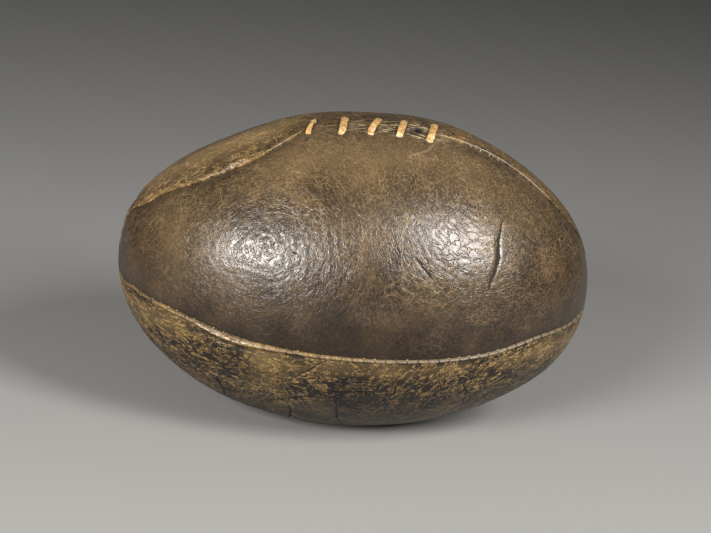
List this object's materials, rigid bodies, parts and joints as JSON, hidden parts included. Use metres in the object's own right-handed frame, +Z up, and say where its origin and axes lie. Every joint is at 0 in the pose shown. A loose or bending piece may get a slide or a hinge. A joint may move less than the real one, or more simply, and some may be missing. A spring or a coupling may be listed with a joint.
{
  "type": "laced leather rugby ball",
  "caption": "Oval laced leather ball of sewn panels over a rubber bladder, closed by a thong lace across a slit in one seam.",
  "frame": {"origin": "on the surface the ball rests on, under its middle", "axes": "+X along the long axis, -Y the front, +Z up; the laced slit is just in front of the top"},
  "size_m": [0.288, 0.1909, 0.1899],
  "materials": {
    "brown_leather": "worn brown hide with a dull polish, fine grain, creases and cracks",
    "tan_leather": "ochre hide darkened by handling, dull polish",
    "inner_leather": "rough flesh side, matte",
    "lace_leather": "golden tan thong, soft, slightly fibrous",
    "waxed_thread": "waxed linen thread, matte",
    "red_rubber": "aged red rubber, matte"
  },
  "bodies": {
    "root": {"front_panel": "brown_leather", "top_panel": "brown_leather", "back_panel": "brown_leather", "bottom_panel": "tan_leather", "front_seam_thread": "waxed_thread", "under_seam_thread": "waxed_thread", "back_seam_thread": "waxed_thread", "laced_seam_thread_left": "waxed_thread", "laced_seam_thread_right": "waxed_thread", "slit_facing_front": "inner_leather", "slit_facing_back": "inner_leather", "lace": "lace_leather", "tongue": "inner_leather", "bladder": "red_rubber", "bladder_neck_tie": "waxed_thread"}
  },
  "joints": []
}
